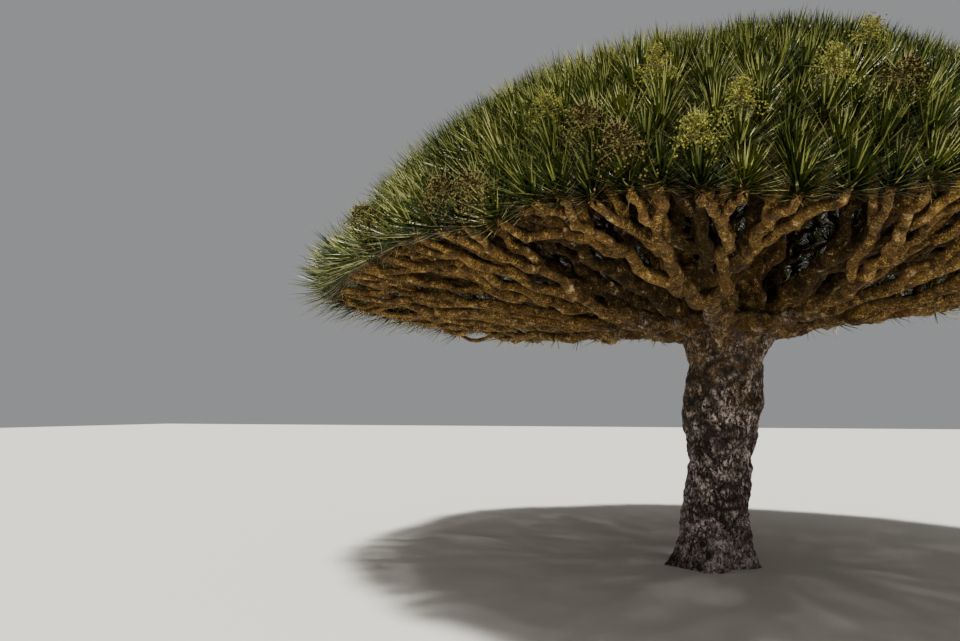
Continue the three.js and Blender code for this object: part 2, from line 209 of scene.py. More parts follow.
def rosette_axis(point):
    return (point - Vector((CROWN_X, CROWN_Y, LEAN_POINT))).normalized()


def lean_at(place):
    """1 on the side where the rim's rosettes lean outward, 0 away from it."""
    turn = math.atan2(place.y - CROWN_Y, place.x - CROWN_X)
    return max(0, math.cos(turn - LEAN_TURN)) ** LEAN_POWER


def middle_of(patch):
    return dome_point((patch.inner + patch.outer) / 2, (patch.left + patch.right) / 2)


def share_patch(patch, seed, parts):
    if parts == 1:
        return [patch]
    side = (patch.left + patch.right) / 2
    level = (patch.inner + patch.outer) / 2
    high = (dome_point(patch.inner, side) - dome_point(patch.outer, side)).length
    wide = (dome_point(level, patch.left) - dome_point(level, patch.right)).length
    wanted = patch.tips * (1 / parts + UNEVEN * spread(seed, 1))
    tips = min(patch.tips - parts + 1, max(1, math.floor(wanted + 0.5)))
    cut = tips / patch.tips
    if high > wide:
        edge = mix(patch.inner, patch.outer, cut)
        one = patch._replace(outer=edge, tips=tips)
        rest = patch._replace(inner=edge, tips=patch.tips - tips)
    else:
        edge = mix(patch.left, patch.right, cut)
        one = patch._replace(right=edge, tips=tips)
        rest = patch._replace(left=edge, tips=patch.tips - tips)
    return [one] + share_patch(rest, scramble(seed, 2), parts - 1)


# Limbs
def grow(shoot, last):
    seed, tips = shoot.seed, shoot.patch.tips
    place = middle_of(shoot.patch)
    if shoot.pillow:
        middle, size = shoot.pillow
        edge = min(1, (place - middle).length / size)
        place = place.lerp(HEAD, PILLOW * edge * edge)
    if last and shoot.patch.outer > RIM_FROM:
        outward = Vector((place.x - CROWN_X, place.y - CROWN_Y, 0)).normalized()
        place = place + outward * RIM_PUSH * lean_at(place)
    way = place - shoot.start
    limbs = 1 + math.log(tips) / math.log(MEAN_FORK)
    share = 1 if last else (1 - SHORTENING) / (1 - SHORTENING**limbs)
    length = way.length * share
    chord = way.normalized()
    end = shoot.start + chord * length
    if not last:
        side = Vector((spread(seed, 11), spread(seed, 12), spread(seed, 13)))
        end += side * WANDER * length
        end.z -= SAG * length * (chord.x**2 + chord.y**2)
    aside = chord - shoot.heading * chord.dot(shoot.heading)
    out = (chord + aside * WIDE_FORK).normalized()
    turned = (chord + rosette_axis(place) * (1 if last else UPTURN)).normalized()
    reach = (end - shoot.start).length / 3
    if last:
        lift = UP * LIFT * (1 - LEAN_SHARE * lean_at(end))
        turned = (turned + rosette_axis(end) + lift).normalized()
        reach *= LAST_BEND
    bends = (shoot.start, shoot.start + out * reach, end - turned * reach, end)
    across = chord.cross(STEADY).normalized()
    return Limb(bends, across, TIP_RADIUS * tips**THICKENING, end, turned, tips, seed)


def fork(limb, shoot, parts=None):
    seed = shoot.seed
    count = parts or (3 if shoot.patch.tips > 2 and chance(seed, 3) < THREE_WAY else 2)
    shoots = []
    for i, part in enumerate(share_patch(shoot.patch, scramble(seed, 4), count)):
        aside = middle_of(part) - limb.end
        aside = (aside - limb.turned * aside.dot(limb.turned)).normalized()
        start = limb.end + (aside * FORK_SPREAD - limb.turned * FORK_DEPTH) * limb.radius
        shoots.append(Shoot(start, limb.turned, part, scramble(seed, 20 + i), shoot.pillow))
    return shoots


def first_shoot(tier, number, i):
    left, right = ((i + k + tier.turn) / tier.boughs * TURN for k in (0, 1))
    tips = math.floor(TIP_COUNT * (tier.outer - tier.inner) / tier.boughs + 0.5)
    patch = Patch(tier.inner, tier.outer, left, right, tips)
    way = middle_of(patch) - HEAD
    way.z = 0
    start = HEAD + way.normalized() * tier.out + UP * tier.rise
    return Shoot(start, UP, patch, scramble(scramble(SEED, number), i), None)


class Growth:
    """One tier's boughs, limbs, twigs and rosettes, and the solids that they stand for."""

    def __init__(self, name):
        self.name = name
        self.boughs = []
        self.limbs = []
        self.twigs = []
        self.rosettes = []
        self.masses = []
        self.wood = []

    def carry(self, limb, shoot, name):
        """The foliage mass at a limb's end."""
        middle = middle_of(shoot.patch)
        size = (middle - dome_point(shoot.patch.outer, shoot.patch.right)).length
        self.masses.append(name)
        for one in fork(limb, shoot._replace(pillow=(middle, size))):
            self.reach_on(one, None)

    def reach_on(self, shoot, spray):
        tips = shoot.patch.tips
        if spray is None and tips <= TIPS_PER_SPRAY:
            spray = shoot.seed
        limb = grow(shoot, tips == 1)
        (self.twigs if spray is not None else self.limbs).append(limb)
        if tips == 1:
            self.rosettes.append(Rosette(limb.end, limb.turned, limb.radius, shoot.seed, spray))
            return
        for one in fork(limb, shoot):
            self.reach_on(one, spray)


def grow_tier(number, tier):
    growth = Growth(tier.name)
    for i in range(tier.boughs):
        place = f"{tier.name}_{i + 1}"
        shoot = first_shoot(tier, number, i)
        bough = grow(shoot, False)
        growth.boughs.append(bough)
        growth.wood.append(f"bough_{place}")
        if not tier.forks:
            growth.carry(bough, shoot, f"foliage_{place}")
            continue
        for letter, one in zip("ab", fork(bough, shoot, 2)):
            limb = grow(one, False)
            growth.boughs.append(limb)
            growth.wood.append(f"limb_{place}_{letter}")
            growth.carry(limb, one, f"foliage_{place}_{letter}")
    return growth


growths = [grow_tier(number, tier) for number, tier in enumerate(TIERS)]
every_mass = [mass for growth in growths for mass in growth.masses]


# Meshes from arrays
def joined_mesh(name, points, *faces):
    """One object from an array of points and arrays of faces of as many corners each."""
    mesh = bpy.data.meshes.new(name)
    corners = np.concatenate([f.ravel() for f in faces]).astype(np.int32)
    sizes = np.concatenate([np.full(len(f), f.shape[1]) for f in faces])
    starts = np.concatenate([[0], np.cumsum(sizes)[:-1]]).astype(np.int32)
    mesh.vertices.add(len(points))
    mesh.vertices.foreach_set("co", np.ascontiguousarray(points, np.float32).ravel())
    mesh.loops.add(len(corners))
    mesh.loops.foreach_set("vertex_index", corners)
    mesh.polygons.add(len(sizes))
    mesh.polygons.foreach_set("loop_start", starts)
    mesh.update(calc_edges=True)
    piece = bpy.data.objects.new(name, mesh)
    bpy.context.scene.collection.objects.link(piece)
    return piece


def unit(v):
    return v / np.linalg.norm(v, axis=-1, keepdims=True)


def dot(a, b):
    return (a * b).sum(-1, keepdims=True)


# Limbs and twigs as tubes
TUBE_ENDS = 0.45  # how far a tube's rounded ends reach, against its radius
WAIST = 0.14  # how much thinner a limb is half way
KNOBS = 0.12  # how far its radius strays from ring to ring
CROOK = 0.45  # how far it strays from its line, against its radius
CROOK_WAVES = (1.5, 3.5)  # half waves along it
SLIMNESS = (
    (0.042, 0.08, 0.13, 0.2),  # radii by the rule
    (0.84, 0.74, 0.74, 0.84),  # how much of each is left
)


def limb_rows(limbs, rings):
    """The middles, headings and radii of each limb's rings, with knuckles where it forks."""
    bends = np.array([limb.bends for limb in limbs])[:, None]
    t = np.linspace(0, 1, rings)[None, :, None]
    places = (
        (1 - t) ** 3 * bends[:, :, 0]
        + 3 * (1 - t) ** 2 * t * bends[:, :, 1]
        + 3 * (1 - t) * t**2 * bends[:, :, 2]
        + t**3 * bends[:, :, 3]
    )
    ahead = unit(
        (1 - t) ** 2 * (bends[:, :, 1] - bends[:, :, 0])
        + 2 * (1 - t) * t * (bends[:, :, 2] - bends[:, :, 1])
        + t**2 * (bends[:, :, 3] - bends[:, :, 2])
    )
    draws = np.random.default_rng(SEED)
    base = np.array([limb.radius for limb in limbs])[:, None]
    play = draws.uniform(-1, 1, (len(limbs), rings))
    along = t[0, :, 0]
    swell = mix(BASE_SWELL, TIP_TAPER, along) * (1 - WAIST * np.sin(math.pi * along) ** 2)
    waves = math.pi * along[:, None] * draws.uniform(*CROOK_WAVES, (len(limbs), 1, 3))
    waves = waves + draws.uniform(0, TURN, (len(limbs), 1, 3))
    crooked = np.sin(waves) * np.sin(math.pi * along[:, None]) * (CROOK * base[..., None])
    slim = np.interp(base, *SLIMNESS)
    return places + crooked, ahead, slim * base * swell * (1 + KNOBS * play)


def tubes(name, limbs, rings, sides):
    """Closed tubes along the limbs, with rounded ends, joined."""
    places, ahead, radii = limb_rows(limbs, rings)
    across = np.array([limb.across for limb in limbs])[:, None]
    first = unit(across - ahead * dot(across, ahead))
    second = np.cross(ahead, first)
    turn = np.arange(sides) / sides * TURN
    across_ring, up_ring = first[:, :, None], second[:, :, None]
    circle = across_ring * np.cos(turn)[:, None] + up_ring * np.sin(turn)[:, None]
    skin = places[:, :, None] + circle * radii[:, :, None, None]
    ends = [
        places[:, k] + sign * ahead[:, k] * radii[:, k, None] * TUBE_ENDS
        for k, sign in ((0, -1), (-1, 1))
    ]
    points = [skin.reshape(len(limbs), -1, 3), ends[0][:, None], ends[1][:, None]]
    points = np.concatenate(points, 1)
    corners = rings * sides + 2
    side = np.arange(sides)
    after = (side + 1) % sides
    ring = np.arange(rings - 1)[:, None] * sides
    walls = [ring + side, ring + after, ring + sides + after, ring + sides + side]
    walls = np.stack(walls, -1).reshape(-1, 4)
    last = (rings - 1) * sides
    foot = np.stack([after, side, np.full(sides, corners - 2)], -1)
    tip = np.stack([last + side, last + after, np.full(sides, corners - 1)], -1)
    shift = (np.arange(len(limbs)) * corners)[:, None, None]
    walls = (walls + shift).reshape(-1, 4)
    caps = (np.concatenate([foot, tip]) + shift).reshape(-1, 3)
    return joined_mesh(name, points.reshape(-1, 3), walls, caps)


def select_only(piece):
    for other in bpy.context.selected_objects:
        other.select_set(False)
    piece.select_set(True)
    bpy.context.view_layer.objects.active = piece


def shape_with(piece, kind, **settings):
    """Adds a modifier with these settings and applies it."""
    select_only(piece)
    modifier = piece.modifiers.new(kind.lower(), kind)
    for name, value in settings.items():
        setattr(modifier, name, value)
    bpy.ops.object.modifier_apply(modifier=modifier.name)


def coordinates(piece):
    co = np.zeros(len(piece.data.vertices) * 3, np.float32)
    piece.data.vertices.foreach_get("co", co)
    return co.reshape(-1, 3)


# Bark
RELIEF = "relief"  # how high a point of the bark stands, for the painted shade in its hollows


def relief_texture(name, kind, size, **settings):
    texture = bpy.data.textures.new(name, kind)
    texture.noise_scale = size
    for key, value in settings.items():
        setattr(texture, key, value)
    return texture


LUMP_TEXTURE = relief_texture("lumps", "CLOUDS", 0.3, noise_depth=1)
KNOB_TEXTURE = relief_texture("knobs", "CLOUDS", 0.09, noise_depth=2)
SCALE_TEXTURE = relief_texture("scales", "VORONOI", 0.05)
CRAG_TEXTURE = relief_texture("crags", "CLOUDS", 0.15, noise_depth=3)
CRAGS_TO = 2.2  # the height that the crags reach


def bark_relief(piece, lumps, knobs, scales, crags=0):
    """Swells the skin in lumps, roughens it with knobs and scales, and the trunk with crags."""
    shape_with(piece, "DISPLACE", texture=LUMP_TEXTURE, strength=lumps, mid_level=0.5)
    if crags:
        low = [i for i, z in enumerate(coordinates(piece)[:, 2]) if z < CRAGS_TO]
        piece.vertex_groups.new(name="trunk").add(low, 1, "REPLACE")
        shape_with(
            piece,
            "DISPLACE",
            texture=CRAG_TEXTURE,
            strength=crags,
            mid_level=0.5,
            vertex_group="trunk",
        )
    before = coordinates(piece)
    normals = np.zeros(len(before) * 3, np.float32)
    piece.data.vertices.foreach_get("normal", normals)
    shape_with(piece, "DISPLACE", texture=KNOB_TEXTURE, strength=knobs, mid_level=0.5)
    shape_with(piece, "DISPLACE", texture=SCALE_TEXTURE, strength=scales, mid_level=0.35)
    rise = ((coordinates(piece) - before) * normals.reshape(-1, 3)).sum(1) / (knobs + scales)
    attribute = piece.data.attributes.new(RELIEF, "FLOAT", "POINT")
    attribute.data.foreach_set("value", (0.5 + rise).astype(np.float32))
    select_only(piece)
    bpy.ops.object.shade_smooth()


# The trunk's body, with its burls and the furrows under the boughs
TRUNK_SIDES = 90
TRUNK_STEP = 0.05
BURIED = 0.1  # the skin goes this far below the ground before it is cut flat
TOP_SIZE = 0.01  # what keeps the top ring from closing
Burl = namedtuple("Burl", "turn z size height")
BURLS = (
    Burl(-2.4, 1.7, 0.19, 0.09),
    Burl(-0.3, 1.8, 0.17, 0.06),
    Burl(-1.58, 2.0, 0.16, 0.07),
    Burl(-1.5, 1.28, 0.15, 0.07),
    Burl(-2.5, 1.38, 0.16, 0.04),
    Burl(-1.1, 0.72, 0.15, 0.03),
    Burl(0.9, 1.6, 0.2, 0.05),
    Burl(2.2, 1.15, 0.18, 0.05),
    Burl(1.6, 0.6, 0.15, 0.03),
)
TWO_LOBES = 0.2  # how far two and three lobes push a burl's outline about
THREE_LOBES = 0.13
PIT_DEPTH = 0.7  # the pit in a burl, against its height, and how much smaller it is
PIT_SIZE = 2.4
SCAR_SIZE = 1.7
RING_SCAR = 0.84  # how dark the ring round a burl is, and how wide
RING_WIDTH = 0.3
SCAR_AND_FURROW_SHADE = "scar"  # how near a point of the trunk is to a scar, or how deep in a furrow, for its colour: dark scars and painted shade in the furrows
FURROW_DEPTH = 0.15
FURROW_FROM = 1.9
FURROW_TO = 2.5
# how dark the furrows between the boughs are, as painted shade
FURROW_SHADE = 0.75
BOUGH_SPREAD = 0.24  # half the width of the ridge under a bough, as an angle
RIDGE_TURNS = [
    math.atan2(bough.end.y - HEAD.y, bough.end.x - HEAD.x) for bough in growths[0].boughs
]


def burl_rise(turn, z):
    """How far burls lift the trunk's skin here, and how deep into a burl's dark scar this is."""
    rise = scar = 0
    for burl in BURLS:
        across = ((turn - burl.turn + math.pi) % TURN - math.pi) * TRUNK_RADIUS
        way = math.atan2(z - burl.z, across)
        uneven = 1 + TWO_LOBES * math.cos(2 * way + 9 * burl.z)
        uneven += THREE_LOBES * math.cos(3 * way + 5 * burl.turn)
        away = math.hypot(across, z - burl.z) / (burl.size * uneven)
        pit = PIT_DEPTH * math.exp(-((PIT_SIZE * away) ** 2))
        rise += burl.height * (math.exp(-(away**2)) - pit)
        ring = RING_SCAR * math.exp(-(((away - 1) / RING_WIDTH) ** 2))
        scar = max(scar, math.exp(-((SCAR_SIZE * away) ** 2)), ring)
    return rise, scar


def furrow(turn, z):
    """0 on the ridges that run down from the rim's boughs, up to 1 in the furrows between them."""
    rise = min(1, max(0, (z - FURROW_FROM) / (FURROW_TO - FURROW_FROM)))
    away = min(abs((turn - bough + math.pi) % TURN - math.pi) for bough in RIDGE_TURNS)
    return rise * rise * (3 - 2 * rise) * (1 - math.exp(-((away / BOUGH_SPREAD) ** 2)))


def trunk_body():
    rings = round((HEAD_HEIGHT + HEAD_DOME + BURIED) / TRUNK_STEP)
    bpy.ops.mesh.primitive_cylinder_add(
        vertices=TRUNK_SIDES,
        radius=1,
        depth=TRUNK_STEP,
        end_fill_type="NGON",
        location=(0, 0, TRUNK_STEP / 2 - BURIED),
    )
    trunk = bpy.context.object
    bpy.ops.object.transform_apply()
    for face in trunk.data.polygons:
        face.select = face.normal.z > 0.5
    bpy.ops.object.mode_set(mode="EDIT")
    for _ in range(rings - 1):
        bpy.ops.mesh.extrude_region_move(TRANSFORM_OT_translate={"value": (0, 0, TRUNK_STEP)})
    bpy.ops.object.mode_set(mode="OBJECT")
    for vertex in trunk.data.vertices:
        x, y, z = vertex.co
        turn = math.atan2(y, x)
        over = min(1, max(0, z - HEAD_HEIGHT) / HEAD_DOME)
        radius = trunk_radius(min(z, HEAD_HEIGHT), turn) + burl_rise(turn, z)[0]
        radius -= FURROW_DEPTH * furrow(turn, z)
        radius *= math.sqrt(1 + TOP_SIZE - over**2)
        outward = Vector((radius * math.cos(turn), radius * math.sin(turn), 0))
        vertex.co = trunk_centre(z) + outward
    return trunk


# Skins over the trunk and limbs
WOOD_VOXEL = 0.0175
LIMB_VOXEL = 0.021
END_SIZE = 0.6  # how thick a limb's ends are against their rings


def limb_bodies(name, limbs, rings, bevel):
    """Bevelled curves along the limbs, made a mesh."""
    curve = bpy.data.curves.new(name, "CURVE")
    curve.dimensions = "3D"
    curve.bevel_depth = 1
    curve.bevel_resolution = bevel
    curve.use_fill_caps = True
    places, ahead, radii = limb_rows(limbs, rings)
    for place, way, radius in zip(places, ahead, radii):
        foot = place[0] - way[0] * radius[0] * TUBE_ENDS
        tip = place[-1] + way[-1] * radius[-1] * TUBE_ENDS
        middles = np.concatenate([[foot], place, [tip]])
        sizes = np.concatenate([[radius[0] * END_SIZE], radius, [radius[-1] * END_SIZE]])
        spline = curve.splines.new("POLY")
        spline.points.add(len(middles) - 1)
        middles = np.concatenate([middles, np.ones((len(middles), 1))], 1)
        spline.points.foreach_set("co", middles.ravel())
        spline.points.foreach_set("radius", sizes)
    body = bpy.data.objects.new(name, curve)
    bpy.context.scene.collection.objects.link(body)
    select_only(body)
    bpy.ops.object.convert(target="MESH")
    return bpy.context.object


def skin_over(name, bodies, voxel):
    """One skin over bodies that run into each other, softened where they meet."""
    select_only(bodies[0])
    for body in bodies[1:]:
        body.select_set(True)
    if len(bodies) > 1:
        bpy.ops.object.join()
    skin = bpy.context.object
    skin.name = skin.data.name = name
    shape_with(skin, "REMESH", mode="VOXEL", voxel_size=voxel)
    shape_with(skin, "SMOOTH", factor=0.5, iterations=4)
    return skin


def cut_flat(piece):
    """Cuts the piece level at the ground and closes it there."""
    select_only(piece)
    bpy.ops.object.mode_set(mode="EDIT")
    bpy.ops.mesh.select_all(action="SELECT")
    bpy.ops.mesh.bisect(plane_co=(0, 0, 0), plane_no=(0, 0, 1), use_fill=True, clear_inner=True)
    bpy.ops.object.mode_set(mode="OBJECT")


def mark_scars_and_furrow_shade(piece):
    """Writes how near each point of the trunk is to a burl's scar, and painted shade for how deep
    it is in a furrow.
    """
    values = np.zeros(len(piece.data.vertices), np.float32)
    for i, (x, y, z) in enumerate(coordinates(piece)):
        if z < HEAD_HEIGHT:
            turn = math.atan2(y, x - trunk_centre(float(z)).x)
            values[i] = max(burl_rise(turn, z)[1], FURROW_SHADE * furrow(turn, z))
    piece.data.attributes.new(SCAR_AND_FURROW_SHADE, "FLOAT", "POINT").data.foreach_set("value", values)


# Leaves. Tilts are degrees from the rosette's axis, for the youngest leaf and the oldest, and
# roots say how far along the axis the two start. A young leaf has the inner share of the length.
Blade = namedtuple("Blade", "count length width tilts crowding play bend droop fold inner roots")
GREEN_BLADES = Blade(
    count=100,
    length=0.45,
    width=0.016,
    tilts=(2, 84),
    crowding=0.7,
    play=4,
    bend=-20,
    droop=0.02,
    fold=0.4,
    inner=0.85,
    roots=(0.02, -0.08),
)
DRY_BLADES = Blade(
    count=15,
    length=0.31,
    width=0.0105,
    tilts=(58, 90),
    crowding=1.0,
    play=9,
    bend=8,
    droop=0.06,
    fold=0.3,
    inner=1.0,
    roots=(-0.04, -0.1),
)
SIZE_PLAY = (0.82, 1.05)  # rosettes against each other
SizePlace = namedtuple("SizePlace", "at spread share")
SIZE_PLACES = (  # where rosettes stay small, or grow large
    SizePlace((2.1, -1.7), 0.9, -0.28),
    SizePlace((0.4, -3.5), 1.3, -0.28),
    SizePlace((-3.4, -1.3), 1.0, 0.16),
)
TURN_PLAY = 0.12
LENGTH_PLAY = (0.86, 1.1)
WIDTH_PLAY = (0.85, 1.15)
BEND_PLAY = (0.2, 1.3)
YOUNG_TO = 0.3  # the share of a rosette's leaves that are still growing
ROOT_SPREAD = 0.9  # how far out leaves are rooted, against their twig's radius
STATIONS = (0, 0.3, 0.68)  # places along a leaf, and how wide it is there
WIDTHS = (1.0, 0.85, 0.5)
GOLDEN = 2.39996  # the angle from each leaf to the next
SHADED_ROOT, BLADE, HIGHLIT_TIP = range(3)  # the parts of a leaf that have a finish of their own: a root darkened as painted shade, the blade, and a tip paled as a painted highlight
PALE_BLADES = 0.18  # how many leaves have the pale tip finish, a painted highlight, from half way up
# how many leaves have the pale tip finish, a painted highlight, at their points
PALE_TIPS = 0.55


def blades(name, rosettes, blade, seed):
    """The blades of many rosettes as one mesh, each folded along its middle up to a point."""
    draws = np.random.default_rng([SEED, seed])
    shape = (len(rosettes), blade.count)
    ends = np.array([r.end for r in rosettes])[:, None]
    axes = np.array([r.axis for r in rosettes])[:, None]
    twig = np.array([r.radius for r in rosettes])[:, None, None]
    first = unit(np.cross(axes, np.array(STEADY)))
    second = np.cross(axes, first)
    outward = np.broadcast_to((np.arange(blade.count) + 0.5) / blade.count, shape)
    spin = draws.uniform(0, TURN, (len(rosettes), 1))
    turn = spin + GOLDEN * np.arange(blade.count) + draws.normal(0, TURN_PLAY, shape)
    tilt = mix(*blade.tilts, outward**blade.crowding) + draws.normal(0, blade.play, shape)
    tilt = np.radians(tilt)[..., None]
    young = np.clip(outward / YOUNG_TO, 0, 1)
    length = blade.length * mix(blade.inner, 1, young) * draws.uniform(*LENGTH_PLAY, shape)
    size = draws.uniform(*SIZE_PLAY, (len(rosettes), 1))
    for place in SIZE_PLACES:
        away = np.array([math.dist(r.end.xy, place.at) for r in rosettes])[:, None] / place.spread
        size = size * (1 + place.share * np.exp(-(away**2)))
    length = (length * size)[..., None]
    bend = np.radians(blade.bend * draws.uniform(*BEND_PLAY, shape) * outward)[..., None]
    half = (blade.width / 2 * draws.uniform(*WIDTH_PLAY, shape))[..., None]
    radial = first * np.cos(turn)[..., None] + second * np.sin(turn)[..., None]
    tangent = np.cross(axes, radial)
    at = outward[..., None]
    root = ends + axes * mix(*blade.roots, at) + radial * twig * ROOT_SPREAD * np.sqrt(at)
    down = np.array([0, 0, -1])
    rows = []
    for s, wide in zip((*STATIONS, 1), (*WIDTHS, 0)):
        lean = tilt + bend * s / 2
        middle = root + length * s * (axes * np.cos(lean) + radial * np.sin(lean))
        middle = middle + down * (blade.droop * at * length * s**2)
        if not wide:
            rows.append(middle)
            continue
        heading = tilt + bend * s
        face = axes * np.sin(heading) - radial * np.cos(heading)
        edge = middle + face * half * wide * blade.fold
        rows += [edge - tangent * half * wide, middle, edge + tangent * half * wide]
    points = np.stack(rows, 2)
    corners = points.shape[2]
    quads = []
    for k in (0, 3):
        quads += [(k, k + 3, k + 4, k + 1), (k + 1, k + 4, k + 5, k + 2)]
    tips = [(6, 9, 7), (7, 9, 8)]
    shift = (np.arange(points.shape[0] * points.shape[1]) * corners)[:, None, None]
    piece = joined_mesh(
        name,
        points.reshape(-1, 3),
        (np.array(quads) + shift).reshape(-1, 4),
        (np.array(tips) + shift).reshape(-1, 3),
    )
    paleness = draws.uniform(0, 1, len(shift))
    lower = np.where(paleness < PALE_BLADES, BLADE, SHADED_ROOT)
    upper = np.where(paleness < PALE_BLADES, HIGHLIT_TIP, BLADE)
    point = np.where(paleness < PALE_TIPS, HIGHLIT_TIP, BLADE)
    walls = np.stack([lower, lower, upper, upper], 1).ravel()
    points = np.stack([point, point], 1).ravel()
    return piece, np.concatenate([walls, points]).astype(np.int32)


# Panicles of blossom and fruit
Panicle = namedtuple("Panicle", "length low branches reach buds size droop")
BLOSSOMS = Panicle(
    length=0.38, low=0.68, branches=22, reach=0.2, buds=18, size=0.0068, droop=0.3
)
FRUITS = Panicle(
    length=0.34, low=0.65, branches=26, reach=0.23, buds=24, size=0.0075, droop=0.8
)
PANICLE_SEED = 77
PANICLE_LIFT = 0.6  # how far a panicle without droop turns up from its rosette's axis
TOP_BRANCH = 0.95  # where the last branch leaves the stalk, as low is for the first
BRANCH_TILTS = (105, 8)  # degrees from the stalk, for the first branch and the last
TILT_POWER = 1.4
TILT_PLAY = 8
REACHES = (1.1, 0.55)  # of the first branch and the last
REACH_PLAY = (0.8, 1.1)
BARE_SHARE = 0.25  # of a branch, from the stalk on
BEAD_SCATTER = 0.016
BEAD_PLAY = (0.8, 1.25)
STALK_RADIUS = 0.005
BEAD, PALE_BEAD, STEM = range(3)
# pale beads are open blossom, and on fruit a painted sunlit highlight
PALE_BEADS = 0.35
BEAD_CORNERS = ((1, 0, 0), (0, 1, 0), (-1, 0, 0), (0, -1, 0), (0, 0, 1), (0, 0, -1))
BEAD_FACES = (
    (0, 1, 4),
    (1, 2, 4),
    (2, 3, 4),
    (3, 0, 4),
    (1, 0, 5),
    (2, 1, 5),
    (3, 2, 5),
    (0, 3, 5),
)

# Places in plan, on the side that the photo shows, whose nearest rosettes bear a panicle
BLOSSOM_AT = (
    (0.04, -3.5),
    (0.29, -3.31),
    (0.86, -2.98),
    (1.23, -2.36),
    (-0.21, -3.05),
    (1.64, -0.62),
    (-0.94, -3.1),
)
FRUIT_AT = (
    (-0.41, -3.53),
    (-0.63, -3.38),
    (-2.4, -2.79),
    (-1.67, -3.18),
    (-1.37, -3.34),
    (1.26, -2.84),
)
UNSEEN_FROM = -1.2  # the y from which chance deals them out
UNSEEN_SHARE = 0.0175


def spikes(lows, highs, radius):
    """Three-sided stalks from each low point to each high one, ending in a point."""
    way = unit(highs - lows)
    first = unit(np.cross(way, np.array(STEADY)))
    second = np.cross(way, first)
    angles = (0, TURN / 3, 2 * TURN / 3)
    ring = [lows + radius * (first * math.cos(a) + second * math.sin(a)) for a in angles]
    points = np.stack([*ring, highs], 1).reshape(-1, 3)
    faces = np.array([(0, 1, 3), (1, 2, 3), (2, 0, 3), (2, 1, 0)])
    return points, (faces + (np.arange(len(lows)) * 4)[:, None, None]).reshape(-1, 3)


def panicles(name, rosettes, panicle, seed):
    """Branched stalks over their rosettes, beaded with buds, as one mesh."""
    draws = np.random.default_rng([SEED, PANICLE_SEED, seed])
    n, branches, buds = len(rosettes), panicle.branches, panicle.buds
    ends = np.array([r.end for r in rosettes])[:, None]
    lift = np.array([0, 0, PANICLE_LIFT - panicle.droop])
    axes = unit(np.array([r.axis for r in rosettes]) + lift)[:, None]
    first = unit(np.cross(axes, np.array(STEADY)))
    second = np.cross(axes, first)
    part = (np.arange(branches) + draws.uniform(0, 1, (n, branches))) / branches
    turn = GOLDEN * np.arange(branches) + draws.uniform(0, TURN, (n, 1))
    radial = first * np.cos(turn)[..., None] + second * np.sin(turn)[..., None]
    foot = ends + axes * (panicle.length * mix(panicle.low, TOP_BRANCH, part))[..., None]
    tilt = mix(*BRANCH_TILTS, part**TILT_POWER) + draws.normal(0, TILT_PLAY, part.shape)
    tilt = np.radians(tilt)[..., None]
    way = axes * np.cos(tilt) + radial * np.sin(tilt)
    reach = draws.uniform(*REACH_PLAY, part.shape) * mix(*REACHES, part)
    reach = panicle.reach * reach[..., None]
    along = draws.uniform(BARE_SHARE, 1, (n, branches, buds))[..., None]
    sag = np.array([0, 0, 1]) * panicle.droop * reach[:, :, None] * along**2
    off = draws.normal(0, BEAD_SCATTER, (n, branches, buds, 3)) - sag
    beads = foot[:, :, None] + (way * reach)[:, :, None] * along + off
    size = panicle.size * draws.uniform(*BEAD_PLAY, (n, branches, buds, 1, 1))
    berries = (beads[..., None, :] + np.array(BEAD_CORNERS) * size).reshape(-1, 3)
    shift = (np.arange(beads.size // 3) * len(BEAD_CORNERS))[:, None, None]
    berry_faces = (np.array(BEAD_FACES) + shift).reshape(-1, 3)
    lows = np.concatenate([foot, ends], 1).reshape(-1, 3)
    highs = np.concatenate([foot + way * reach, ends + axes * panicle.length], 1).reshape(-1, 3)
    stalks, stalk_faces = spikes(lows, highs, STALK_RADIUS)
    points = np.concatenate([berries, stalks])
    piece = joined_mesh(name, points, np.concatenate([berry_faces, stalk_faces + len(berries)]))
    shades = np.where(draws.uniform(0, 1, beads.size // 3) < PALE_BEADS, PALE_BEAD, BEAD)
    shades = np.repeat(shades, len(BEAD_FACES))
    slots = np.concatenate([shades, np.full(len(stalk_faces), STEM)])
    return piece, slots.astype(np.int32)


# Materials
def feed(tree, socket, value):
    """Links an output socket to an input, or sets the input to a value."""
    if isinstance(value, bpy.types.NodeSocket):
        tree.links.new(value, socket)
    else:
        socket.default_value = value


def node(tree, kind, *inputs, **settings):
    """Adds a node. Each input is its name or number, and a value or output socket."""
    made = tree.nodes.new(kind)
    for name, value in settings.items():
        setattr(made, name, value)
    for name, value in inputs:
        feed(tree, made.inputs[name], value)
    return made


def new_material(name, roughness, specular):
    material = bpy.data.materials.new(name)
    material.use_nodes = True
    shader = material.node_tree.nodes["Principled BSDF"]
    shader.inputs["Roughness"].default_value = roughness
    shader.inputs["Specular IOR Level"].default_value = specular
    return material, material.node_tree, shader


def plain_material(name, colour, roughness, specular):
    material, _, shader = new_material(name, roughness, specular)
    shader.inputs["Base Color"].default_value = (*colour, 1)
    return material


def colour_ramp(tree, value, stops):
    ramp = node(tree, "ShaderNodeValToRGB", ("Fac", value))
    elements = ramp.color_ramp.elements
    while len(elements) < len(stops):
        elements.new(0.5)
    for element, (at, colour) in zip(elements, stops):
        element.position = at
        element.color = (*colour, 1)
    return ramp.outputs["Color"]


def mixed(tree, amount, under, over):
    """Lays a plain colour over a colour, or one coloured socket over another."""
    if not isinstance(over, bpy.types.NodeSocket):
        over = (*over, 1)
    made = node(tree, "ShaderNodeMix", (0, amount), (6, under), (7, over), data_type="RGBA")
    return made.outputs[2]


